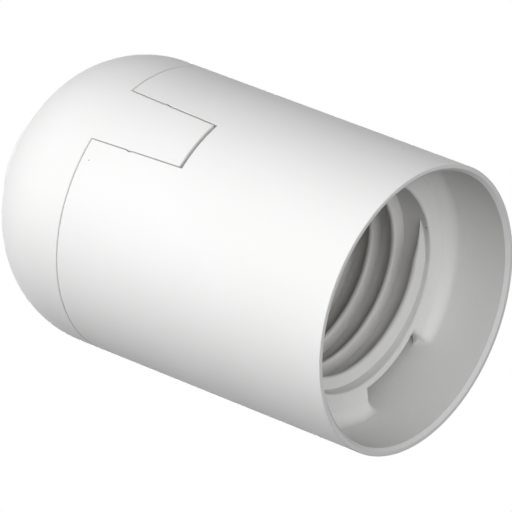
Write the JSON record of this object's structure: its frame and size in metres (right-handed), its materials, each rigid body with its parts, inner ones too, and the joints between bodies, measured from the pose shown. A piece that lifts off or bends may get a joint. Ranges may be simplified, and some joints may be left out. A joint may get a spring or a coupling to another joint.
{
  "type": "lamp holder",
  "caption": "Screw lamp holder with a smooth white shell, a skirt round a threaded lamp sleeve, and a domed cap held by two tongues, with a threaded tube entry.",
  "frame": {"origin": "middle of the mouth's rim, on the surface that the holder stands on", "axes": "+Z along the lamp's axis, from the mouth to the domed cap; the cap's tongues lie on the X axis and the terminals on the Y axis, the live one at +Y"},
  "size_m": [0.038, 0.038, 0.0605],
  "materials": {
    "shell_white": "satin moulded white thermoplastic",
    "cap_white": "satin moulded white thermoplastic",
    "carrier_white": "matt moulded heat-resistant plastic",
    "contact_brass": "rolled sprung brass strip",
    "rivet_brass": "set brass rivet",
    "bush_steel": "zinc-plated turned steel",
    "terminal_steel": "zinc-plated pressed steel",
    "screw_steel": "zinc-plated steel screw"
  },
  "bodies": {
    "housing": {"outer_shell": "shell_white", "contact_carrier": "carrier_white", "centre_contact": "contact_brass", "side_contact": "contact_brass", "live_nut": "terminal_steel", "neutral_nut": "terminal_steel", "centre_rivet": "rivet_brass", "side_rivet": "rivet_brass"},
    "top_cap": {"cap": "cap_white", "tube_bush": "bush_steel"},
    "lock_screw": {"bush_lock_screw": "bush_steel"},
    "live_clamp": {"live_clamp_plate": "terminal_steel", "live_spring_washer": "terminal_steel"},
    "live_screw": {"live_terminal_screw": "screw_steel"},
    "neutral_clamp": {"neutral_clamp_plate": "terminal_steel", "neutral_spring_washer": "terminal_steel"},
    "neutral_screw": {"neutral_terminal_screw": "screw_steel"}
  },
  "joints": [
    {"name": "cap_lift", "type": "slide", "parent": "housing", "child": "top_cap", "axis": [0, 0, 1], "range_m": [0, 0.02]},
    {"name": "lock_screw_travel", "type": "slide", "parent": "top_cap", "child": "lock_screw", "axis": [0, 1, 0], "range_m": [0, 0.002]},
    {"name": "live_clamp_lift", "type": "slide", "parent": "housing", "child": "live_clamp", "axis": [0, 0, 1], "range_m": [0, 0.0018]},
    {"name": "live_screw_turn", "type": "hinge", "parent": "live_clamp", "child": "live_screw", "pos_m": [0, 0.0084, 0.0364], "axis": [0, 0, 1], "range_deg": [0, 1080]},
    {"name": "neutral_clamp_lift", "type": "slide", "parent": "housing", "child": "neutral_clamp", "axis": [0, 0, 1], "range_m": [0, 0.0018]},
    {"name": "neutral_screw_turn", "type": "hinge", "parent": "neutral_clamp", "child": "neutral_screw", "pos_m": [0, -0.0084, 0.0364], "axis": [0, 0, 1], "range_deg": [0, 1080]}
  ],
  "couplings": [
    {"joint": "live_screw_turn", "follows": "live_clamp_lift", "rad_per_m": 10472},
    {"joint": "neutral_screw_turn", "follows": "neutral_clamp_lift", "rad_per_m": 10472}
  ]
}
